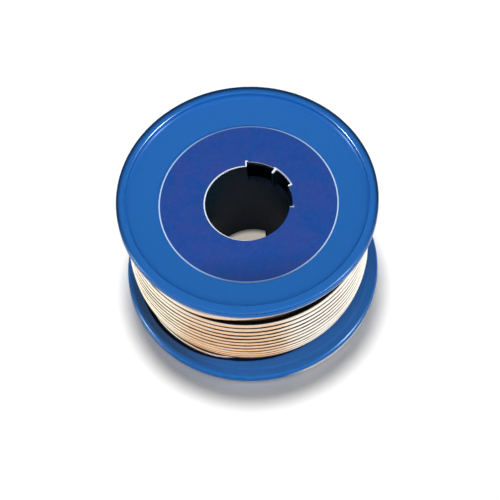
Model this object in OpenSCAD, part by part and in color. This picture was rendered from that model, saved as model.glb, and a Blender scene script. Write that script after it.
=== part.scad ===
// Small reel of solder wire: two moulded flanges pressed on a webbed core, a bare paper label
// on the upper face, and a crowned pack of wire whose last layer is wound turn by turn.
// Origin: centre of the plane that the lower rim stands on. +Z is the spindle axis, the front
// is towards -Y, and angles run from +X towards +Y. Millimetres.

/* [Overall] */
// Outer diameter of both flanges
flange_d = 50; // [40:1:70]
// Height over the two rims
reel_h = 29.5; // [24:0.5:45]

/* [Flanges] */
// Height of the rim, measured along the axis
rim_h = 2.65; // [2.2:0.05:3.6]
// Width of the raised rim
rim_w = 1.7; // [1:0.1:3]
// Radius of the rim's outer edge
rim_edge_r = 0.5; // [0.2:0.05:1]
// Radius of the rim's edge on the wire side
wire_edge_r = 0.9; // [0.3:0.05:1.4]
// Radius of the rim's inner crest
crest_r = 0.25; // [0.1:0.05:0.6]
// Depth of the wall inside the rim
wall_drop = 1.5; // [0.8:0.05:2]
// Radius of the fillet at the foot of that wall
foot_r = 0.9; // [0.3:0.1:1.5]
// Depth of the dished face where it reaches the label seat
face_drop = 2.5; // [1.8:0.05:3]
// Thickness of the plate between the label seat and the core
hub_plate_t = 0.85; // [0.6:0.05:1.5]
// Height of the collar that plugs into the core
collar_h = 2.5; // [1.5:0.1:4]
// Wall of that collar
collar_t = 1.1; // [0.8:0.1:2]
// Clearance round every plug and sleeve
fit_gap = 0.1; // [0.05:0.01:0.3]

/* [Core] */
// Outer diameter of the barrel that the wire is wound on
barrel_d = 34; // [28:0.5:38]
// Wall of the barrel
barrel_t = 1.4; // [1:0.1:2]
// Diameter of the spindle bore
bore_d = 16; // [10:0.5:20]
// Wall of the bore tube
tube_t = 1.1; // [0.8:0.1:2]
// Height of the bore tube's lower end above the lower rim plane
foot_gap = 0.4; // [0:0.1:2]
// Number of webs between the barrel and the bore tube
web_count = 6; // [3:1:8]
// Thickness of a web
web_t = 1; // [0.8:0.1:2]

/* [Drive notches] */
// Angle of the web that stands behind the divider of the upper notches
divider_at = 50; // [0:1:90]
// Width of the divider between the upper notches
divider_t = 0.4; // [0.3:0.05:1]
// Start of the upper notches
notch_from = 22; // [0:1:45]
// End of the upper notches
notch_to = 87; // [60:1:120]
// Depth of the upper notches
notch_drop = 5; // [2:0.1:8]
// Start of the shallow relief beside the notches
relief_from = -10; // [-60:1:20]
// Depth of the shallow relief
relief_drop = 3.5; // [1:0.1:4.5]
// Radial depth of the shallow relief
relief_r = 0.5; // [0.2:0.05:0.9]
// Start of the lower notch
low_notch_from = 67; // [30:1:90]
// End of the lower notch
low_notch_to = 132; // [100:1:160]
// Depth of the lower notch
low_notch_drop = 2.1; // [1:0.1:3]

/* [Label] */
// Diameter of the paper label
label_d = 34.4; // [24:0.1:40]
// Thickness of the label
label_t = 0.2; // [0.1:0.01:0.3]
// Depth of the seat that the label is stuck in
seat_step = 0.15; // [0.1:0.05:0.6]
// Room round the label in its seat
label_room = 0.25; // [0.25:0.05:1]
// Distance that the label sits off centre, towards +X
label_shift = 0.2; // [0:0.05:0.2]
// Room between the label's hole and the bore
label_hole_room = 0.15; // [0.05:0.05:0.5]

/* [Wire] */
// Diameter of the solder wire
wire_d = 1.2; // [0.8:0.1:1.6]
// Room between neighbouring turns of the last layer
turn_room = 0.25; // [0.22:0.01:0.6]
// Angle at which the last layer starts, beside the lower flange
layer_from = 265; // [0:1:359]
// Outer diameter of the pack at mid height
pack_d = 46.8; // [38:0.1:48]
// Fall of the pack's surface from mid height to its ends
pack_crown = 2; // [0.4:0.1:3]
// Gap between the pack and the faces it lies against
pack_gap = 0.08; // [0.05:0.01:0.2]
// Bend radius where the wire dives into the pack or turns inside the core
bend_r = 1.5; // [1.3:0.1:3]
// Angle of the start hole through the barrel
start_at = 260; // [0:1:359]
// Height of the start hole above the lower rim plane
start_z = 7.5; // [6:0.5:12]
// Length of the start tail inside the core
start_tail = 7; // [3:0.5:12]

/* [Part] */
// Sub-part to draw

/* [Hidden] */
$fn = 120;
// how far solids run into each other where they join, and how far cutters run past a face
over = 0.01;
past = 1;

flange_r = flange_d / 2;
rim_in_r = flange_r - rim_w;
barrel_r = barrel_d / 2;
barrel_in_r = barrel_r - barrel_t;
collar_r = barrel_in_r - fit_gap;
collar_in_r = collar_r - collar_t;
bore_r = bore_d / 2;
tube_r = bore_r + tube_t;
seat_r = label_d / 2 + label_room;
seat_drop = face_drop + seat_step;
hub_drop = seat_drop + hub_plate_t;
mid_z = reel_h / 2;

// slope of the dished face and of the wire-side face
face_slope = (face_drop - wall_drop) / (rim_in_r - seat_r);
wire_slope = (hub_drop - rim_h) / (rim_in_r - barrel_r);

// colours of the mouldings, the paper and the metal
plastic_blue = [0.08, 0.3, 0.62];
paper_blue = [0.12, 0.2, 0.5];
solder_tone = [0.85, 0.76, 0.62];

// ---------- flanges ----------

// quarter-round cutter for a square corner, with the corner at the origin and the material
// towards -X and -Y
module corner_cut(r) {
    difference() {
        translate([-r, -r]) square(r + over);
        translate([-r, -r]) circle(r);
    }
}

// fillet between the wall inside the rim and the dished face
module foot_fillet() {
    tilt = atan(face_slope);
    centre = [rim_in_r - foot_r, foot_r / cos(tilt) - wall_drop - face_slope * foot_r];
    difference() {
        polygon([[rim_in_r + over, -wall_drop - over],
                 [rim_in_r + over, centre[1]],
                 centre,
                 centre + (foot_r + 2 * over) * [sin(tilt), -cos(tilt)]]);
        translate(centre) circle(foot_r);
    }
}

// half section of a flange, with the outer rim plane at height 0 and the wire side below
module flange_section() {
    difference() {
        polygon([[tube_r + fit_gap, -seat_drop],
                 [seat_r, -seat_drop],
                 [seat_r, -face_drop],
                 [rim_in_r, -wall_drop],
                 [rim_in_r, 0],
                 [flange_r, 0],
                 [flange_r, -rim_h],
                 [rim_in_r, -rim_h],
                 [barrel_r, -hub_drop],
                 [tube_r + fit_gap, -hub_drop]]);
        translate([flange_r, 0]) corner_cut(rim_edge_r);
        translate([rim_in_r, 0]) mirror([1, 0]) corner_cut(crest_r);
        translate([flange_r, -rim_h]) mirror([0, 1]) corner_cut(wire_edge_r);
    }
    foot_fillet();
}

// collar that plugs into the barrel, joined to the plate above it
module collar() {
    translate([0, 0, -hub_drop - collar_h]) difference() {
        cylinder(r = collar_r, h = collar_h + over);
        translate([0, 0, -past]) cylinder(r = collar_in_r, h = collar_h + 2 * past);
    }
}

module flange() {
    rotate_extrude() flange_section();
    collar();
}

module upper_flange() {
    color(plastic_blue) translate([0, 0, reel_h]) flange();
}

// the same moulding, turned over
module lower_flange() {
    color(plastic_blue) rotate([180, 0, 0]) flange();
}

// ---------- core ----------

core_z0 = hub_drop;
core_z1 = reel_h - hub_drop;
tube_z1 = reel_h - seat_drop;
web_z0 = core_z0 + collar_h + fit_gap;
web_z1 = core_z1 - collar_h - fit_gap;
// angle that half of the divider takes up at the middle of the tube's wall
divider_half = atan(divider_t / 2 / (bore_r + tube_t / 2));

// sector of a ring about the axis, from angle a0 to a1
module sector(r0, r1, a0, a1, h) {
    rotate([0, 0, a0]) rotate_extrude(angle = a1 - a0) translate([r0, 0]) square([r1 - r0, h]);
}

// web along +X, from the middle of the tube's wall to the middle of the barrel's; it holds the
// two plates apart inside the collars, and is cut back round the collars
module web() {
    r0 = tube_r - tube_t / 2;
    r1 = collar_in_r - fit_gap;
    r2 = barrel_in_r + barrel_t / 2;
    rotate([90, 0, 0]) linear_extrude(web_t, center = true)
        polygon([[r0, core_z0], [r1, core_z0], [r1, web_z0], [r2, web_z0],
                 [r2, web_z1], [r1, web_z1], [r1, core_z1], [r0, core_z1]]);
}

module webs() {
    for (i = [0 : web_count - 1]) {
        rotate([0, 0, divider_at + i * 360 / web_count]) web();
    }
}

// the two upper notches, one on each side of the divider
module notch_pair(r, h) {
    sector(bore_r - past, r, notch_from, divider_at - divider_half, h);
    sector(bore_r - past, r, divider_at + divider_half, notch_to, h);
}

// the shallow relief, run into the first notch
module relief(r, h) {
    sector(bore_r - past, r, relief_from, notch_from + divider_half, h);
}

module notches() {
    translate([0, 0, tube_z1 - notch_drop]) notch_pair(tube_r + over, notch_drop + past);
    translate([0, 0, tube_z1 - relief_drop]) relief(bore_r + relief_r, relief_drop + past / 2);
    translate([0, 0, foot_gap - past])
        sector(bore_r - past, tube_r + over, low_notch_from, low_notch_to, low_notch_drop + past);
}

module winding_core() {
    color(plastic_blue) difference() {
        union() {
            difference() {
                translate([0, 0, core_z0]) cylinder(r = barrel_r, h = core_z1 - core_z0);
                translate([0, 0, core_z0 - past]) cylinder(r = barrel_in_r, h = reel_h);
            }
            translate([0, 0, foot_gap]) cylinder(r = tube_r, h = tube_z1 - foot_gap);
            webs();
        }
        translate([0, 0, -past]) cylinder(r = bore_r, h = reel_h + 2 * past);
        notches();
        rotate([0, 0, start_at]) translate([barrel_in_r - past, 0, start_z]) rotate([0, 90, 0])
            cylinder(r = wire_d / 2 + fit_gap, h = barrel_t + 2 * past, $fn = 32);
    }
}

// ---------- label ----------

// punched round the bore, the notches and the relief, with a narrow strip left on the divider
module face_label() {
    h = label_t + 2 * past;
    color(paper_blue) translate([0, 0, tube_z1]) difference() {
        translate([label_shift, 0, 0]) cylinder(r = label_d / 2, h = label_t);
        translate([0, 0, -past]) cylinder(r = bore_r + label_hole_room, h = h);
        translate([0, 0, -past]) notch_pair(tube_r + fit_gap, h);
        translate([0, 0, -past / 2]) relief(bore_r + relief_r + label_hole_room, h);
    }
}

// ---------- wire ----------

pack_r = pack_d / 2;
// height of the wire-side face above the lower rim plane at radius r
function face_z(r) = hub_drop - wire_slope * (r - barrel_r);
end_r = pack_r - pack_crown;
half_w = mid_z - face_z(end_r);
// the crown is an arc: its radius, and its centre's distance beyond the axis
crown_arc = (half_w * half_w + pack_crown * pack_crown) / (2 * pack_crown);
crown_c = pack_r - crown_arc;
wire_arc = crown_arc - wire_d / 2;
rings_per_turn = 24;
// how far a straight step of the wire's centre line falls inside its turn
step_sag = pack_r * (1 - cos(180 / rings_per_turn));
under_arc = wire_arc - wire_d / 2 - step_sag - pack_gap;

// each end of the last layer bends through a right angle and runs straight, a little over its
// own diameter, into a slot in the pack below
dive_steps = 5;
straight = wire_d * 1.1;
dive_depth = bend_r + straight;

// centre line of the last layer, clear of the flanges as far in as the ends reach
turn_z0 = face_z(end_r - wire_d - dive_depth) + pack_gap + wire_d / 2;
turn_z1 = reel_h - turn_z0;
turns = (turn_z1 - turn_z0) / (wire_d + turn_room);
ring_count = round(turns * rings_per_turn);
// the last layer climbs clockwise, seen from above
wind = -1;
function layer_angle(i) = layer_from + wind * 360 * turns * i / ring_count;
function layer_z(i) = turn_z0 + (turn_z1 - turn_z0) * i / ring_count;
function layer_r(z) = crown_c + sqrt(wire_arc * wire_arc - (z - mid_z) * (z - mid_z));
function out_dir(a) = [cos(a), sin(a), 0];
function along_dir(a) = wind * [-sin(a), cos(a), 0];
function layer_point(i) = layer_r(layer_z(i)) * out_dir(layer_angle(i)) + [0, 0, layer_z(i)];

function dive_point(i, way, k) =
    let (a = layer_angle(i), t = 90 * k / dive_steps)
    layer_point(i) - bend_r * out_dir(a)
        + bend_r * (cos(t) * out_dir(a) + way * sin(t) * along_dir(a));
function dive_end(i, way) = dive_point(i, way, dive_steps) - straight * out_dir(layer_angle(i));

wire_path = concat(
    [dive_end(0, -1)],
    [for (k = [dive_steps : -1 : 1]) dive_point(0, -1, k)],
    [for (i = [0 : ring_count]) layer_point(i)],
    [for (k = [1 : dive_steps]) dive_point(ring_count, 1, k)],
    [dive_end(ring_count, 1)]);
path_last = len(wire_path) - 1;

function unit(v) = v / norm(v);
// direction of the path at point i, from its neighbours; the end runs are square to the slot
function path_dir(i) =
    i <= 1 ? unit(wire_path[1] - wire_path[0]) :
    i >= path_last - 1 ? unit(wire_path[path_last] - wire_path[path_last - 1]) :
    unit(wire_path[i + 1] - wire_path[i - 1]);
// six points round the path, with two flats towards the neighbouring turns
sides = 6;
function ring(i) =
    let (d = path_dir(i), up = unit([0, 0, 1] - d[2] * d), side = cross(d, up))
    [for (k = [0 : sides - 1])
        wire_path[i] + wire_d / 2 * (cos(60 * k + 30) * up + sin(60 * k + 30) * side)];
rings = [for (i = [0 : path_last]) ring(i)];

// least distance between the points of one turn and those of the next
turn_first = dive_steps + 1;
turn_last = turn_first + ring_count;
turn_gap = min([for (i = [turn_first : turn_last - rings_per_turn + 2])
    for (j = [i + rings_per_turn - 2 : min(i + rings_per_turn + 2, turn_last)])
        for (p = rings[i]) for (q = rings[j]) norm(p - q)]);
echo(turns = turns, turn_gap = turn_gap);

module outer_winding() {
    points = [for (r = rings) for (p = r) p];
    skin = [for (i = [0 : path_last - 1]) for (k = [0 : sides - 1])
        let (a = i * sides + k, b = i * sides + (k + 1) % sides, c = a + sides, d = b + sides)
        for (f = [[a, b, d], [a, d, c]]) f];
    cap0 = [for (k = [1 : sides - 2]) [0, k + 1, k]];
    top = path_last * sides;
    cap1 = [for (k = [1 : sides - 2]) [top, top + k, top + k + 1]];
    color(solder_tone) polyhedron(points, concat(skin, cap0, cap1), convexity = 20);
}

// slot that takes one end of the last layer, cut square to the end's straight run, which lies
// on the anticlockwise side of ring i where side is 1 and on the other where it is -1
module dive_slot(i, side) {
    room = wire_d / 2 + 2 * pack_gap;
    depth = dive_depth + pack_gap;
    translate([0, 0, layer_z(i)]) rotate([0, 0, layer_angle(i)])
        translate([layer_r(layer_z(i)) - depth, side > 0 ? -wire_d : -bend_r - room, -room])
            cube([depth + wire_d, bend_r + room + wire_d, 2 * room]);
}

module inner_windings() {
    lift = pack_gap;
    color(solder_tone) difference() {
        rotate_extrude() intersection() {
            polygon([[barrel_r + lift, hub_drop + lift],
                     [flange_r, face_z(flange_r) + lift],
                     [flange_r, reel_h - face_z(flange_r) - lift],
                     [barrel_r + lift, reel_h - hub_drop - lift]]);
            translate([crown_c, mid_z]) circle(under_arc, $fn = 360);
        }
        dive_slot(0, -wind);
        dive_slot(ring_count, wind);
    }
}

// the wire's first end, pushed through the barrel and turned up beside the bore tube
module wire_start_tail() {
    reach = barrel_t + 1;
    color(solder_tone) rotate([0, 0, start_at]) translate([barrel_r, 0, start_z]) {
        translate([-reach, 0, 0]) rotate([0, 90, 0]) cylinder(d = wire_d, h = reach, $fn = 32);
        translate([-reach, 0, bend_r]) rotate([90, 0, 0]) rotate([0, 0, 180])
            rotate_extrude(angle = 90, $fn = 64) translate([bend_r, 0]) circle(d = wire_d, $fn = 32);
        translate([-reach - bend_r, 0, bend_r]) cylinder(d = wire_d, h = start_tail, $fn = 32);
    }
}

upper_flange();
lower_flange();
winding_core();
face_label();
inner_windings();
outer_winding();
wire_start_tail();
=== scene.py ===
import math
import random

import bmesh
import bpy
from mathutils import Matrix, Vector


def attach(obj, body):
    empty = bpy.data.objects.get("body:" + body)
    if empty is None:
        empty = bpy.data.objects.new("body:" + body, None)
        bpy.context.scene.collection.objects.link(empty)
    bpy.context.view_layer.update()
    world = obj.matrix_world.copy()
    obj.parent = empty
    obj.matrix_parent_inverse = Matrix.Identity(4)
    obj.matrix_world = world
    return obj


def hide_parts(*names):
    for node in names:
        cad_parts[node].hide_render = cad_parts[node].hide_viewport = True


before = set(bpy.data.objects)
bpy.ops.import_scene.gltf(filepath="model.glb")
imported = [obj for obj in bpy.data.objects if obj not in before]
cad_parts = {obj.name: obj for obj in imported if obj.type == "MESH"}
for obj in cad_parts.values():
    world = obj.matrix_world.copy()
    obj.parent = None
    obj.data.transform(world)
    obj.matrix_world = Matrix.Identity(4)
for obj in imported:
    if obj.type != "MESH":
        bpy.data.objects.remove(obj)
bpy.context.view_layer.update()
BODY = "root"
MM = 0.001

# sizes that part.scad also holds, in millimetres
REEL_H = 29.5
MID_Z = REEL_H / 2
TUBE_R = 9.1
LABEL_R = 17.2
LABEL_SHIFT = 0.2
BARREL_R = 17.0
HUB_DROP = 3.5
RIM_H = 2.65
WIRE_R = 0.6


# ---------- small node helpers ----------

class Nodes:
    """A material's node tree, with short calls for the nodes that the materials share."""

    def __init__(self, name):
        self.mat = bpy.data.materials.new(name)
        self.mat.use_nodes = True
        self.tree = self.mat.node_tree
        self.bsdf = self.tree.nodes["Principled BSDF"]
        self.coord = self.add("ShaderNodeTexCoord")

    def add(self, kind, **props):
        node = self.tree.nodes.new(kind)
        for key, value in props.items():
            setattr(node, key, value)
        return node

    def link(self, a, b):
        self.tree.links.new(a, b)

    def put(self, socket, value):
        """Sets a socket, from a number or from another socket."""
        if isinstance(value, bpy.types.NodeSocket):
            self.link(value, socket)
        else:
            socket.default_value = value

    def noise(self, scale, detail=4.0, rough=0.55, vector=None, distortion=0.0):
        n = self.add("ShaderNodeTexNoise")
        self.put(n.inputs["Scale"], scale)
        n.inputs["Detail"].default_value = detail
        n.inputs["Roughness"].default_value = rough
        n.inputs["Distortion"].default_value = distortion
        self.link(vector or self.coord.outputs["Object"], n.inputs["Vector"])
        return n.outputs["Fac"]

    def ramp(self, fac, low, high, a=0.0, b=1.0):
        n = self.add("ShaderNodeMapRange", clamp=True)
        self.put(n.inputs["Value"], fac)
        n.inputs["From Min"].default_value = low
        n.inputs["From Max"].default_value = high
        n.inputs["To Min"].default_value = a
        n.inputs["To Max"].default_value = b
        return n.outputs["Result"]

    def math(self, op, a, b=0.0, c=0.0):
        n = self.add("ShaderNodeMath", operation=op)
        for k, v in enumerate((a, b, c)):
            self.put(n.inputs[k], v)
        return n.outputs[0]

    def times(self, first, *rest):
        for other in rest:
            first = self.math("MULTIPLY", first, other)
        return first

    def most(self, first, *rest):
        for other in rest:
            first = self.math("MAXIMUM", first, other)
        return first

    def band(self, value, low, high, soft):
        """1 between low and high, 0 outside, with edges this soft."""
        return self.times(self.ramp(value, low - soft, low), self.ramp(value, high + soft, high))

    def mix(self, fac, a, b, mode="MIX"):
        n = self.add("ShaderNodeMix", data_type="RGBA", blend_type=mode)
        self.put(n.inputs[0], fac)
        self.put(n.inputs[6], a)
        self.put(n.inputs[7], b)
        return n.outputs[2]

    def bump(self, height, strength, distance, normal=None):
        n = self.add("ShaderNodeBump")
        n.inputs["Strength"].default_value = strength
        n.inputs["Distance"].default_value = distance
        self.link(height, n.inputs["Height"])
        if normal is not None:
            self.link(normal, n.inputs["Normal"])
        return n.outputs["Normal"]

    def place(self):
        """The position's parts, x, y and z, in millimetres."""
        n = self.add("ShaderNodeSeparateXYZ")
        self.link(self.coord.outputs["Object"], n.inputs[0])
        return [self.math("MULTIPLY", n.outputs[k], 1000.0) for k in range(3)]

    def distance(self, x, y, cx=0.0, cy=0.0):
        """Distance in plan from the point cx, cy."""
        dx, dy = self.math("SUBTRACT", x, cx), self.math("SUBTRACT", y, cy)
        return self.math("SQRT", self.math("ADD", self.times(dx, dx), self.times(dy, dy)))

    def bearing(self, x, y):
        """Direction in plan from the axis, in degrees from +X towards +Y, between -180 and 180."""
        return self.math("MULTIPLY", self.math("ARCTAN2", y, x), 180.0 / math.pi)

    def up(self):
        """How far the true surface faces up or down, from 1 to -1."""
        geo, n = self.add("ShaderNodeNewGeometry"), self.add("ShaderNodeSeparateXYZ")
        self.link(geo.outputs["True Normal"], n.inputs[0])
        return n.outputs[2]


def rgb(r, g, b):
    return (r, g, b, 1.0)


WHITE = rgb(1.0, 1.0, 1.0)


# ---------- materials ----------

def plastic(name, base, deep, pale, rough, gloss):
    """Moulded polystyrene: faint flow marks, a fine orange-peel bump and light handling scratches."""
    m = Nodes(name)
    flow = m.noise(90.0, 3.0, 0.6, distortion=0.6)
    fine = m.noise(2600.0, 3.0, 0.6)
    peel = m.noise(900.0, 2.0, 0.5)
    scuff = m.noise(420.0, 5.0, 0.75, distortion=1.5)
    colour = m.mix(m.ramp(flow, 0.3, 0.7, 0.0, 0.35), base, deep)
    colour = m.mix(m.ramp(scuff, 0.66, 0.8, 0.0, 0.08), colour, pale)
    m.put(m.bsdf.inputs["Roughness"], m.math("ADD", m.ramp(flow, 0.2, 0.8, rough - 0.03, rough + 0.04),
                                             m.ramp(scuff, 0.6, 0.8, 0.0, 0.1)))
    normal = m.bump(peel, 0.05, 0.00004)
    normal = m.bump(fine, 0.05, 0.00001, normal)
    m.link(normal, m.bsdf.inputs["Normal"])
    m.bsdf.inputs["IOR"].default_value = 1.5
    m.put(m.bsdf.inputs["Specular IOR Level"], gloss)
    return m, colour, scuff


def flange_plastic():
    """The flanges' blue, with painted light and shade: painted shade on the upper rim's outer rounding, by
    the bore and beside the pack, painted highlights on the outermost edges, and lighter walls.
    """
    base, deep = rgb(0.0195, 0.128, 0.43), rgb(0.017, 0.118, 0.405)
    m, colour, scuff = plastic("flange_plastic", base, deep, rgb(0.2, 0.33, 0.6), 0.28, 0.04)
    x, y, z = m.place()
    r = m.distance(x, y)
    angle = m.bearing(x, y)
    steep = m.math("ABSOLUTE", m.up())
    # painted highlights: the rims' crest and the wire-side rounding are glossier only at the bearings where
    # the glint lamps should draw lines, the rounding more at the right
    crest_glint_gloss = m.times(m.band(r, 23.2, 23.65, 0.1), m.ramp(z, REEL_H - 0.4, REEL_H - 0.2),
                    m.most(m.band(angle, 22.0, 45.0, 14.0), m.band(angle, 125.0, 150.0, 14.0)))
    rounding_glint_gloss = m.times(m.band(r, 24.74, 24.9, 0.06), m.band(z, RIM_H - 0.75, RIM_H, 0.1),
                         m.ramp(x, -12.0, 12.0, 0.04, 0.11))
    m.put(m.bsdf.inputs["Specular IOR Level"], m.math("ADD", m.times(m.most(crest_glint_gloss, rounding_glint_gloss), 0.46), 0.04))
    # painted shade: dark where the plate's edge goes down into the bore
    colour = m.mix(m.times(m.ramp(r, 9.75, 9.55), m.ramp(steep, 0.5, 0.3)), colour, rgb(0.004, 0.01, 0.02))
    # painted light: the rims' inner and outer walls are made lighter, so that they look as lit as the faces,
    # and more so at the front
    turned = m.math("SUBTRACT", steep, m.ramp(y, 5.0, -12.0, 0.0, 0.1))
    painted_wall_light = m.most(m.times(m.band(r, 23.1, 23.52, 0.05), m.ramp(turned, 0.97, 0.75)),
                  m.times(m.ramp(r, 24.6, 24.85), m.ramp(steep, 0.8, 0.5)))
    colour = m.mix(painted_wall_light, colour, m.mix(m.ramp(y, 5.0, -5.0), rgb(0.02, 0.165, 0.56), rgb(0.022, 0.19, 0.64)))
    # painted shade: the rounding of the upper rim's outer edge is darkened towards the back
    out = m.math("ADD", r, m.ramp(y, 2.0, 24.0, 0.0, 0.36))
    painted_back_edge_shade = m.times(m.ramp(out, 24.13, 24.76), m.ramp(z, REEL_H - 0.5, REEL_H - 0.35),
                       m.ramp(y, -14.0, -2.0))
    colour = m.mix(m.times(painted_back_edge_shade, 0.96), colour, rgb(0.003, 0.022, 0.08))
    # painted shade: a thin dark line where the front wall meets that rounding
    line = m.times(m.ramp(r, 24.75, 24.88), m.band(z, REEL_H - 0.48, REEL_H - 0.36, 0.06),
                   m.ramp(y, -6.0, -14.0))
    colour = m.mix(m.times(line, 0.8), colour, rgb(0.002, 0.06, 0.26))
    # painted highlights: pale lines along the lowest edge, most at its right, along the lower rim's outer
    # wall at the left, and along the wire side's edges, broken up by the scuff noise
    highlight_breakup = m.ramp(scuff, 0.3, 0.6, 0.5, 1.0)
    foot_highlight = m.times(m.ramp(r, 24.3, 24.6), m.ramp(z, 0.75, 0.6), 0.6)
    slid_highlight = m.times(m.ramp(r, 24.3, 24.6), m.ramp(z, 1.3, 1.15), m.band(angle, -66.0, -20.0, 14.0), 1.6)
    side_highlight = m.times(m.ramp(r, 24.7, 24.85), m.band(z, 1.75, 2.0, 0.15), m.band(angle, -158.0, -140.0, 8.0))
    wire_edge_highlight = m.times(m.ramp(r, 24.3, 24.6), m.band(z, REEL_H - RIM_H + 0.3, REEL_H - RIM_H + 0.95, 0.1))
    painted_edge_highlights = m.most(foot_highlight, slid_highlight, m.times(wire_edge_highlight, 0.6), m.times(side_highlight, 0.3))
    colour = m.mix(m.times(painted_edge_highlights, highlight_breakup), colour, rgb(0.93, 0.96, 1.0))
    # painted light: a faint pale haze over the lower flange's wire-side face
    low = m.band(z, HUB_DROP - 1.2, HUB_DROP + 0.1, 0.1)
    colour = m.mix(m.times(low, m.ramp(r, 24.5, 24.1), m.ramp(scuff, 0.3, 0.7, 0.03, 0.06)), colour,
                   rgb(0.35, 0.5, 1.0))
    # painted shade: that face is darker and greyer at the left
    painted_left_shade = m.times(m.band(angle, -165.0, -135.0, 28.0), m.ramp(r, 24.5, 24.0), low)
    colour = m.mix(m.times(painted_left_shade, m.ramp(scuff, 0.3, 0.7, 0.6, 0.95)), colour, rgb(0.035, 0.058, 0.105))
    # painted shadow: black beside the pack on that face, reaching a little further out beside the loose turn
    shadow_past_loose_turn = m.times(m.band(angle, -145.0, -125.0, 20.0), 0.3)
    from_pack = m.math("SUBTRACT", m.distance(x, y, -1.1, 0.1), shadow_past_loose_turn)
    beside = m.times(m.ramp(from_pack, 21.85, 21.65), low)
    colour = m.mix(m.times(beside, 0.98), colour, rgb(0.002, 0.003, 0.006))
    m.link(colour, m.bsdf.inputs["Base Color"])
    return m.mat


def core_plastic():
    """The core's plastic, dark to stand for the shade inside the bore, and lighter high up at the left, which
    is painted light.
    """
    m, colour, scuff = plastic("core_plastic", rgb(0.006, 0.012, 0.024), rgb(0.003, 0.006, 0.012),
                               rgb(0.02, 0.04, 0.055), 0.5, 0.04)
    x, y, z = m.place()
    # painted light: lighter high up at the left of the bore
    lit = m.times(m.ramp(x, -3.0, -8.0), m.ramp(z, 8.0, 22.0), m.ramp(y, -5.0, 1.0))
    colour = m.mix(m.times(lit, m.ramp(scuff, 0.3, 0.7, 0.5, 1.0)), colour, rgb(0.012, 0.045, 0.075))
    colour = m.mix(m.ramp(m.noise(1500.0, 3.0, 0.7), 0.45, 0.7, 0.0, 0.6), colour, rgb(0.001, 0.002, 0.005))
    m.link(colour, m.bsdf.inputs["Base Color"])
    return m.mat


def label_paper():
    """Printed paper: violet-blue ink with a fine mottle, bare paper along its cut edges, and a painted
    highlight along its outer edge.
    """
    m = Nodes("label_paper")
    x, y, _ = m.place()
    r = m.distance(x, y)
    angle = m.bearing(x, y)
    cloud = m.noise(190.0, 5.0, 0.6, distortion=0.8)
    speck = m.noise(1500.0, 3.0, 0.7)
    ink = m.mix(m.ramp(cloud, 0.35, 0.68), rgb(0.012, 0.067, 0.31), rgb(0.03, 0.063, 0.295))
    ink = m.mix(m.ramp(speck, 0.5, 0.75, 0.0, 0.35), ink, rgb(0.03, 0.11, 0.4))
    ink = m.mix(m.ramp(speck, 0.42, 0.25, 0.0, 0.4), ink, rgb(0.012, 0.036, 0.18))
    # the ink is darker towards the front edge
    ink = m.mix(m.ramp(y, -11.0, -17.0, 0.0, 0.6), ink, rgb(0.012, 0.033, 0.13))
    # the outer edge: bare paper and a painted highlight, stronger at the left and right
    edge_paper_and_highlight = m.times(m.ramp(m.distance(x, y, LABEL_SHIFT), LABEL_R - 0.28, LABEL_R - 0.2),
                   m.ramp(m.math("ABSOLUTE", x), 5.0, 16.0, 0.24, 0.9))
    ink = m.mix(edge_paper_and_highlight, ink, rgb(0.55, 0.76, 1.0))
    # the print's own hole is larger than the die-cut one and a little to the left
    hole = m.ramp(m.distance(x, y, -0.145, 0.04), 8.27, 8.2)
    near = m.ramp(r, TUBE_R + 0.4, TUBE_R + 0.25)
    cuts = m.most(m.band(angle, 86.0, 88.5, 0.4), m.band(angle, 47.5, 52.5, 0.4),
                  m.band(angle, 20.3, 23.0, 0.4))
    relief = m.times(m.band(angle, -11.3, -9.0, 0.3), m.ramp(r, 9.0, 8.9), 0.45)
    arc = m.times(m.band(angle, 22.0, 49.0, 1.0), m.ramp(r, TUBE_R + 0.42, TUBE_R + 0.32), 0.5)
    side = m.ramp(m.math("ABSOLUTE", m.up()), 0.5, 0.3)
    hole_side = m.times(side, m.ramp(r, LABEL_R - 1.0, LABEL_R - 2.0))
    bare = m.most(hole_side, hole, m.times(near, cuts), relief, arc)
    m.link(m.mix(bare, ink, rgb(0.82, 0.87, 0.95)), m.bsdf.inputs["Base Color"])
    fibre = m.noise(3200.0, 4.0, 0.7)
    m.put(m.bsdf.inputs["Roughness"], m.ramp(cloud, 0.2, 0.8, 0.42, 0.55))
    m.bsdf.inputs["Specular IOR Level"].default_value = 0.15
    m.link(m.bump(fibre, 0.12, 0.00002), m.bsdf.inputs["Normal"])
    return m.mat


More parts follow.
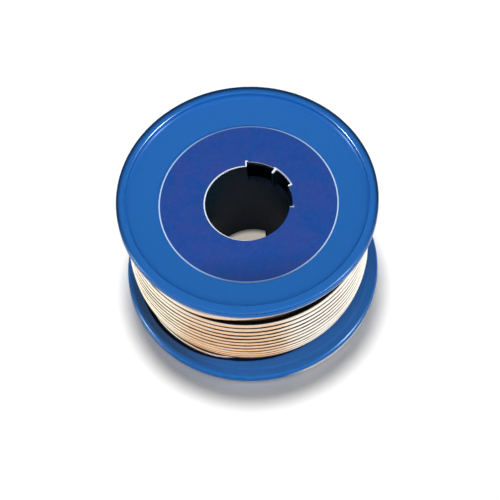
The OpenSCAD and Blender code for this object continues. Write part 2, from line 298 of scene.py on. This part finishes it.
def solder(name, base, warm, dull, grime_and_shade_strength, rough):
    """Drawn solder wire: lengthwise draw lines, oxide patches, and flux grime with painted shade where turns
    meet.
    """
    m = Nodes(name)
    attr = m.add("ShaderNodeAttribute", attribute_name="wire")
    sep = m.add("ShaderNodeSeparateXYZ")
    m.link(attr.outputs["Vector"], sep.inputs[0])
    along, rise, out = sep.outputs
    join = m.add("ShaderNodeCombineXYZ")
    m.put(join.inputs[0], m.math("MULTIPLY", along, 0.04))
    m.put(join.inputs[1], m.math("MULTIPLY", rise, 3.0))
    m.put(join.inputs[2], m.math("MULTIPLY", out, 3.0))
    draw = m.noise(9.0, 4.0, 0.65, vector=join.outputs[0])
    patch = m.noise(260.0, 4.0, 0.6, distortion=0.6)
    pit = m.noise(2400.0, 2.0, 0.6)
    colour = m.mix(m.ramp(patch, 0.35, 0.7), base, warm)
    colour = m.mix(m.ramp(draw, 0.55, 0.8, 0.0, 0.35), colour, dull)
    # grime and painted shade where turns meet: above each turn, and below it in the pack's lower rows. Its
    # width is uneven along the wire and greater at the left, it thins out in the rows near the top, and it is
    # darkest at the front
    x, y, z = m.place()
    angle = m.bearing(x, y)
    stretch = m.add("ShaderNodeCombineXYZ")
    m.put(stretch.inputs[0], m.math("MULTIPLY", along, 0.02))
    uneven = m.ramp(m.noise(5.0, 3.0, 0.6, vector=stretch.outputs[0]), 0.3, 0.7, -0.09, 0.09)
    dark = m.band(angle, -84.0, -52.0, 10.0)
    wide = m.math("ADD", uneven, m.ramp(x, -15.0, -21.0, 0.0, 0.08))
    high = m.math("ADD", m.ramp(z, 17.0, 23.0, 0.0, 0.36), m.ramp(z, 22.4, 23.2, 0.0, 0.4))
    above = m.math("ADD", out, m.math("SUBTRACT", high, wide))
    low = m.times(m.ramp(z, 14.0, 9.5), m.ramp(z, 4.2, 4.8))
    below = m.math("SUBTRACT", rise, m.math("ADD", m.times(low, 0.75), wide))
    groove = m.most(m.times(m.ramp(above, 0.77, 0.68), m.ramp(rise, 0.0, 0.1)), m.ramp(below, -0.6, -0.8),
                    m.ramp(out, 0.1, -0.3))
    grime_and_shade = m.mix(dark, rgb(0.05, 0.022, 0.01), rgb(0.014, 0.009, 0.007))
    colour = m.mix(m.times(groove, grime_and_shade_strength), colour, grime_and_shade)
    m.link(colour, m.bsdf.inputs["Base Color"])
    m.bsdf.inputs["Metallic"].default_value = 1.0
    m.put(m.bsdf.inputs["Roughness"], m.math("ADD", m.ramp(draw, 0.3, 0.8, rough - 0.06, rough + 0.1),
                                             m.ramp(patch, 0.4, 0.8, 0.0, 0.1)))
    normal = m.bump(draw, 0.25, 0.00003)
    normal = m.bump(pit, 0.08, 0.00001, normal)
    m.link(normal, m.bsdf.inputs["Normal"])
    return m.mat


FLANGE = flange_plastic()
CORE = core_plastic()
LABEL = label_paper()
SOLDER = solder("solder_bright", rgb(0.95, 0.91, 0.85), rgb(0.93, 0.86, 0.76), rgb(0.55, 0.43, 0.32),
                grime_and_shade_strength=0.96, rough=0.25)
# painted shade: the layers below are darker than the real wire, to stand for the shade between turns
SOLDER_DIM = solder("solder_shaded", rgb(0.2, 0.15, 0.1), rgb(0.17, 0.12, 0.08), rgb(0.08, 0.055, 0.035),
                    grime_and_shade_strength=0.85, rough=0.5)


def dress(node, mat):
    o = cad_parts[node]
    o.data.materials.clear()
    o.data.materials.append(mat)


dress("upper_flange", FLANGE)
dress("lower_flange", FLANGE)
dress("winding_core", CORE)
dress("face_label", LABEL)
dress("wire_start_tail", SOLDER_DIM)


# ---------- the wound wire ----------

# the pack's outline: radius at mid height, fall to its ends, and how squarely it falls
PACK_R = 23.42
FALL = 2.5
POWER = 3.35
HALF_W = 11.85
# the pack stands a little off the axis, away from the side where it was pulled tight
LEAN_X = -0.35
PITCH = 1.39
FIRST_Z = 3.62
START_DEG = 262.0
OUTER_TURNS = 15.2
SECOND_TURNS = 15.98
LAYER_GAP = 1.2
SIDES = 16
STEPS = 120
# how far a turn strays up or down and in or out
DRIFT = 0.08
LIFT = 0.07
# rounds off the turn-round at the lower flange, in turns squared
REVERSAL = 0.0016
# the loose stretch of the lowest turn: where it is, half its width, and how gently it starts, in degrees
LOOSE_AT, LOOSE_HALF, LOOSE_EASE = 228.0, 46.0, 34.0
# how far it lies out and down, and how far the turns above it lie up and in
LOOSE_OUT, LOOSE_DOWN, ABOVE_UP, ABOVE_IN = 0.62, 0.08, 0.2, 0.1
# the same for the last few turns, which stand up against the upper flange at the front
SWELL_AT, SWELL_HALF, SWELL_EASE = 287.0, 54.0, 42.0
# the turn they start at, how far up and in they lie at turn SWELL_FULL, and how much less per turn
SWELL_FROM, SWELL_FULL, SWELL_UP, SWELL_IN, SWELL_LESS = 12.4, 12.94, 1.5, 0.2, 0.14
# where an end dives into the layer below: bend radius, steps in the bend, and the straight run's points
DIVE_BEND = 1.5
DIVE_STEPS = 8
DIVE_RUN = (0.4, 0.8)


def pack_radius(z):
    """Radius of the pack's outline at height z."""
    return PACK_R - FALL * min(1.0, abs(z - MID_Z) / HALF_W) ** POWER


def ease(x):
    """0 below 0, 1 above 1 and smooth between."""
    x = min(1.0, max(0.0, x))
    return x * x * (3.0 - 2.0 * x)


def stretch_of(angle, at, half, gentle):
    """1 in the middle of a stretch round this bearing, 0 outside it. The angle is in radians."""
    away = abs((math.degrees(angle) - at + 180.0) % 360.0 - 180.0)
    return ease((half - away) / gentle)


def waves(rng, slowest, fastest, count=6):
    """A smooth random function of one number, between -1 and 1, from a few seeded waves."""
    parts = [(rng.uniform(slowest, fastest), rng.uniform(0, 2 * math.pi), rng.uniform(0.4, 1.0))
             for _ in range(count)]
    total = sum(p[2] for p in parts)
    return lambda s: sum(a * math.sin(2 * math.pi * f * s + p) for f, p, a in parts) / total


def sweep(name, points, radius, mats, is_second):
    """One unbroken tube along the points. The attribute wire keeps each vertex's distance along it,
    and how far it faces up and outwards."""
    me = bpy.data.meshes.new(name)
    verts, faces, wire, slots = [], [], [], []
    n = len(points)
    along = 0.0
    for i, p in enumerate(points):
        a, b = points[max(i - 1, 0)], points[min(i + 1, n - 1)]
        d = (b - a).normalized()
        up = (Vector((0, 0, 1)) - d * d.z).normalized()
        side = up.cross(d)
        if i:
            along += (p - points[i - 1]).length
        for k in range(SIDES):
            t = 2 * math.pi * k / SIDES
            verts.append((p + radius * (math.cos(t) * up + math.sin(t) * side)) * MM)
            wire.append((along, math.cos(t), math.sin(t)))
    for i in range(n - 1):
        for k in range(SIDES):
            a, b = i * SIDES + k, i * SIDES + (k + 1) % SIDES
            faces.append((a, a + SIDES, b + SIDES, b))
            slots.append(1 if is_second(i) else 0)
    faces.append(tuple(range(SIDES)))
    faces.append(tuple((n - 1) * SIDES + k for k in range(SIDES - 1, -1, -1)))
    slots += [1, 0]
    me.from_pydata(verts, [], faces)
    attr = me.attributes.new("wire", "FLOAT_VECTOR", "POINT")
    attr.data.foreach_set("vector", [c for w in wire for c in w])
    for mat in mats:
        me.materials.append(mat)
    for f, slot in zip(me.polygons, slots):
        f.use_smooth = True
        f.material_index = slot
    o = bpy.data.objects.new(name, me)
    bpy.context.scene.collection.objects.link(o)
    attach(o, BODY)
    return o


def wound_wire():
    """The two layers that can be seen, as the one wire that they are: it winds down on the layer
    below, crosses at the lower flange, and climbs again as the outermost layer."""
    rng = random.Random(5)
    drift, lift = waves(rng, 0.2, 2.6, 9), waves(rng, 0.3, 3.1, 9)

    def angle(s):
        return math.radians(START_DEG) - 2 * math.pi * s

    def point(s):
        a = angle(s)
        turn = abs(s)
        z = FIRST_Z + PITCH * math.sqrt(turn * turn + REVERSAL)
        hold = min(1.0, turn / 0.4, ((OUTER_TURNS if s > 0 else SECOND_TURNS) - turn) / 0.5)
        outer = ease((s + 0.05) / 0.09)
        r = pack_radius(z) - WIRE_R - LAYER_GAP * (1.0 - outer)
        z += DRIFT * hold * drift(s)
        r += LIFT * hold * lift(s)
        # the lowest turn lies loose at the front left, and the turns above it stand off a little
        part = stretch_of(a, LOOSE_AT, LOOSE_HALF, LOOSE_EASE)
        if -0.05 < s < 0.6:
            r += LOOSE_OUT * part * outer
            z -= LOOSE_DOWN * part * outer
        elif s > 0.0:
            above = part * max(0.0, 1.0 - (s - 1.1) / 4.0)
            z += ABOVE_UP * above
            r -= ABOVE_IN * above
        if s > SWELL_FROM:
            swell = stretch_of(a, SWELL_AT, SWELL_HALF, SWELL_EASE)
            z += (SWELL_UP - SWELL_LESS * (s - SWELL_FULL)) * swell
            r -= SWELL_IN * swell
        lean = LEAN_X * math.cos(a)
        return Vector(((r + lean) * math.cos(a), (r + lean) * math.sin(a), z))

    def dive(s, way):
        """A bend into the layer below, and a short straight run there."""
        a, p = angle(s), point(s)
        out, ahead = Vector((math.cos(a), math.sin(a), 0)), Vector((math.sin(a), -math.cos(a), 0)) * way
        turns = [math.pi / 2 * k / DIVE_STEPS for k in range(1, DIVE_STEPS + 1)]
        arc = [p - DIVE_BEND * out + DIVE_BEND * (math.cos(t) * out + math.sin(t) * ahead) for t in turns]
        return arc + [arc[-1] - out * run for run in DIVE_RUN]

    count = int((SECOND_TURNS + OUTER_TURNS) * STEPS)
    stops = [-SECOND_TURNS + (SECOND_TURNS + OUTER_TURNS) * i / count for i in range(count + 1)]
    head = list(reversed(dive(stops[0], -1)))
    points = head + [point(s) for s in stops] + dive(stops[-1], 1)
    crossing = len(head) + (SECOND_TURNS - 0.06) * STEPS
    return sweep("solder_wire", points, WIRE_R, (SOLDER, SOLDER_DIM), lambda i: i < crossing)


wire = wound_wire()
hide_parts("outer_winding")


def under_layers():
    """The layers below, as one turned body under the two that can be seen."""
    me = bpy.data.meshes.new("solder_under_layers")
    bm = bmesh.new()
    rows, seg = 120, 120
    z0, z1 = HUB_DROP + 0.1, REEL_H - HUB_DROP - 0.1
    profile = [(BARREL_R + 0.08, z0)]
    for k in range(rows + 1):
        z = z0 + (z1 - z0) * k / rows
        groove = 0.12 * math.cos(2 * math.pi * (z - z0) / PITCH)
        profile.append((pack_radius(z) - 2 * (WIRE_R + LAYER_GAP) + 0.75 + groove, z))
    profile.append((BARREL_R + 0.08, z1))

    def vert(r, z, s):
        a = 2 * math.pi * s / seg
        r += LEAN_X * math.cos(a) if r > BARREL_R + 1 else 0.0
        return bm.verts.new((r * math.cos(a) * MM, r * math.sin(a) * MM, z * MM))

    rings = [[vert(r, z, s) for s in range(seg)] for r, z in profile]
    for a, b in zip(rings, rings[1:] + rings[:1]):
        for s in range(seg):
            bm.faces.new((a[s], a[(s + 1) % seg], b[(s + 1) % seg], b[s])).smooth = True
    bmesh.ops.recalc_face_normals(bm, faces=bm.faces)
    bm.to_mesh(me)
    bm.free()
    me.materials.append(SOLDER_DIM)
    o = bpy.data.objects.new("solder_under_layers", me)
    bpy.context.scene.collection.objects.link(o)
    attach(o, BODY)
    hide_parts("inner_windings")
    return o


under = under_layers()


# ---------- stage, light and camera ----------

class Stage(Nodes):
    """The same short calls for the floor's and the surround's node trees."""

    def __init__(self, holder):
        holder.use_nodes = True
        self.tree = holder.node_tree
        self.coord = self.add("ShaderNodeTexCoord")
        self.path = self.add("ShaderNodeLightPath")

    def split(self, vector):
        n = self.add("ShaderNodeSeparateXYZ")
        self.link(vector, n.inputs[0])
        return n.outputs

    def pick(self, fac, a, b):
        n = self.add("ShaderNodeMixShader")
        for k, socket in enumerate((fac, a, b)):
            self.link(socket, n.inputs[k])
        return n.outputs[0]

    def warm(self, x, y, low, high):
        """What reflections see: tan in front between these bearings, cream at the left, else white."""
        angle = self.bearing(x, y)
        beside = self.mix(self.ramp(angle, -100.0, -130.0), WHITE, rgb(1.0, 0.97, 0.82))
        return self.mix(self.band(angle, low, high, 12.0), beside, rgb(0.78, 0.43, 0.2))


def stage_floor():
    """A white sheet under the reel, large enough for every view."""
    me = bpy.data.meshes.new("floor")
    s = 3.0
    me.from_pydata([(-s, -s, 0), (s, -s, 0), (s, s, 0), (-s, s, 0)], [], [(0, 1, 2, 3)])
    o = bpy.data.objects.new("floor", me)
    bpy.context.scene.collection.objects.link(o)
    mat = bpy.data.materials.new("floor_white")
    m = Stage(mat)
    x, y, _ = m.split(m.coord.outputs["Object"])
    seen = m.tree.nodes["Principled BSDF"]
    ring = m.band(m.distance(x, y), 0.047, 0.14, 0.006)
    tint = m.warm(x, y, -131.0, -77.0)
    tint = m.mix(m.times(ring, 0.45), tint, rgb(1.0, 0.96, 0.88))
    m.link(m.mix(m.path.outputs["Is Glossy Ray"], rgb(0.96, 0.955, 0.95), tint), seen.inputs["Base Color"])
    seen.inputs["Roughness"].default_value = 0.9
    seen.inputs["Specular IOR Level"].default_value = 0.0
    # painted light: the paper under the bore glows brighter and warmer than in the reel's shadow, where light
    # through the bore would fall
    under = m.ramp(m.distance(x, y), 0.0084, 0.0092)
    glow = m.mix(under, rgb(0.46, 0.42, 0.36), rgb(0.11, 0.11, 0.11))
    # far from the lamps the sheet keeps its white
    glow = m.mix(m.ramp(m.distance(x, y), 0.3, 1.2), glow, rgb(0.85, 0.85, 0.85))
    m.link(m.mix(m.path.outputs["Is Glossy Ray"], glow, m.mix(0.75, tint, rgb(0.0, 0.0, 0.0))),
           seen.inputs["Emission Color"])
    seen.inputs["Emission Strength"].default_value = 1.0
    bounce = m.add("ShaderNodeBsdfDiffuse")
    bounce.inputs["Color"].default_value = rgb(0.5, 0.5, 0.5)
    m.link(m.pick(m.path.outputs["Is Diffuse Ray"], seen.outputs[0], bounce.outputs[0]),
           m.tree.nodes["Material Output"].inputs["Surface"])
    me.materials.append(mat)
    return o


floor = stage_floor()


def surround():
    """White to the camera; to reflections a bright room, tan in front and dark behind; dim to the rest."""
    world = bpy.data.worlds.new("surround")
    bpy.context.scene.world = world
    m = Stage(world)

    def background(colour, strength):
        n = m.add("ShaderNodeBackground")
        m.put(n.inputs["Color"], colour)
        m.put(n.inputs["Strength"], strength)
        return n.outputs[0]

    x, y, z = m.split(m.coord.outputs["Generated"])
    level = m.times(m.ramp(z, 0.55, 0.85, 1.0, 0.1), m.ramp(y, 0.05, 0.35, 1.0, 0.12))
    level = m.most(level, m.ramp(z, 0.95, 0.975, 0.0, 1.5))
    lit = background(WHITE, 0.12)
    low = m.warm(x, y, -147.0, -72.0)
    mirrored = background(m.mix(m.ramp(z, 0.1, 0.3), low, WHITE), level)
    seen = background(WHITE, 1.0)
    both = m.pick(m.path.outputs["Is Glossy Ray"], lit, mirrored)
    m.link(m.pick(m.path.outputs["Is Camera Ray"], both, seen),
           m.tree.nodes["World Output"].inputs["Surface"])


surround()


HERE = Vector((0, 0, 0.02))


def lamp(name, az, el, dist, size, level, colour=(1, 1, 1), shape="RECTANGLE"):
    """A soft lamp at this azimuth and elevation, in degrees, that lights an upward face to this level."""
    a, e = math.radians(az), math.radians(el)
    data = bpy.data.lights.new(name, "AREA")
    data.shape = shape
    data.size, data.size_y = size
    data.energy = level * math.pi ** 2 * dist ** 2 / math.sin(e)
    data.color = colour
    o = bpy.data.objects.new(name, data)
    o.location = HERE + dist * Vector((math.cos(e) * math.cos(a), math.cos(e) * math.sin(a), math.sin(e)))
    o.rotation_mode = "QUATERNION"
    o.rotation_quaternion = (HERE - o.location).to_track_quat("-Z", "Y")
    bpy.context.scene.collection.objects.link(o)
    return o


# the key is shared between two lamps in one place: one for everything and one for the floor alone
key = lamp("key_overhead", 90, 81.6, 1.2, (0.18, 0.18), 0.3, (1.0, 0.99, 0.97), "ELLIPSE")
key_floor = lamp("key_on_floor", 90, 81.6, 1.2, (0.18, 0.18), 0.52, (1.0, 1.0, 1.0), "ELLIPSE")
lamp("side_left", 180, 45, 0.7, (0.2, 0.2), 0.05, (1.0, 0.97, 0.92))
lamp("side_right", 0, 45, 0.7, (0.2, 0.2), 0.06)
front = lamp("fill_front", 270, 53, 0.8, (0.6, 0.5), 0.62, (1.0, 0.985, 0.96))
for o in (key, key_floor, front):
    o.visible_glossy = False
# two small low lamps that only the flanges mirror, as thin lines along the edges that the flanges' material
# makes glossier
glint_left = lamp("glint_left", 184, 9, 0.7, (0.13, 0.1), 0.85, (0.58, 0.8, 1.0))
glint_right = lamp("glint_right", -25, 9, 0.7, (0.13, 0.1), 1.15, (0.58, 0.82, 1.0))
for o in (glint_left, glint_right):
    o.visible_diffuse = False


def link_lamp(lamp_object, receivers, state):
    """Has the lamp light only these objects, or all but them."""
    group = bpy.data.collections.new(lamp_object.name + "_receivers")
    for k, receiver in enumerate(receivers):
        group.objects.link(receiver)
        group.collection_objects[k].light_linking.link_state = state
    lamp_object.light_linking.receiver_collection = group


flanges = [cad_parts["upper_flange"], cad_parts["lower_flange"]]
link_lamp(key_floor, [floor], "INCLUDE")
link_lamp(front, [floor], "EXCLUDE")
link_lamp(glint_left, flanges, "INCLUDE")
link_lamp(glint_right, flanges, "INCLUDE")

# the photograph's camera: elevation, roll, distance and focal length solved from the flange outlines
ELEV = math.radians(60.79)
ROLL = math.radians(-4.65)
DIST = 0.4538
FOCAL_PX = 2322.7
PICTURE_PX = 500.0
AXIS_PX = 234.43  # how far down the picture the line of sight to the reel's centre passes
SENSOR_MM = 36.0
centre = Vector((0, 0, MID_Z * MM))
offset = Vector((0, -math.cos(ELEV), math.sin(ELEV))) * DIST
fwd = -offset.normalized()
right = Vector((1, 0, 0))
up = right.cross(fwd)
cam_x = math.cos(ROLL) * right + math.sin(ROLL) * up
cam_y = -math.sin(ROLL) * right + math.cos(ROLL) * up
tip = math.atan((PICTURE_PX / 2 - AXIS_PX) / FOCAL_PX)
look = math.cos(tip) * fwd - math.sin(tip) * cam_y
cam_up = math.cos(tip) * cam_y + math.sin(tip) * fwd
cam_data = bpy.data.cameras.new("camera")
cam_data.sensor_width = SENSOR_MM
cam_data.lens = FOCAL_PX * SENSOR_MM / PICTURE_PX
cam_data.clip_start, cam_data.clip_end = 0.05, 20.0
cam = bpy.data.objects.new("camera", cam_data)
rot = Matrix((cam_x, cam_up, -look)).transposed()
cam.matrix_world = Matrix.Translation(centre + offset) @ rot.to_4x4()
bpy.context.scene.collection.objects.link(cam)
bpy.context.scene.camera = cam
bpy.context.scene.view_settings.view_transform = "Standard"
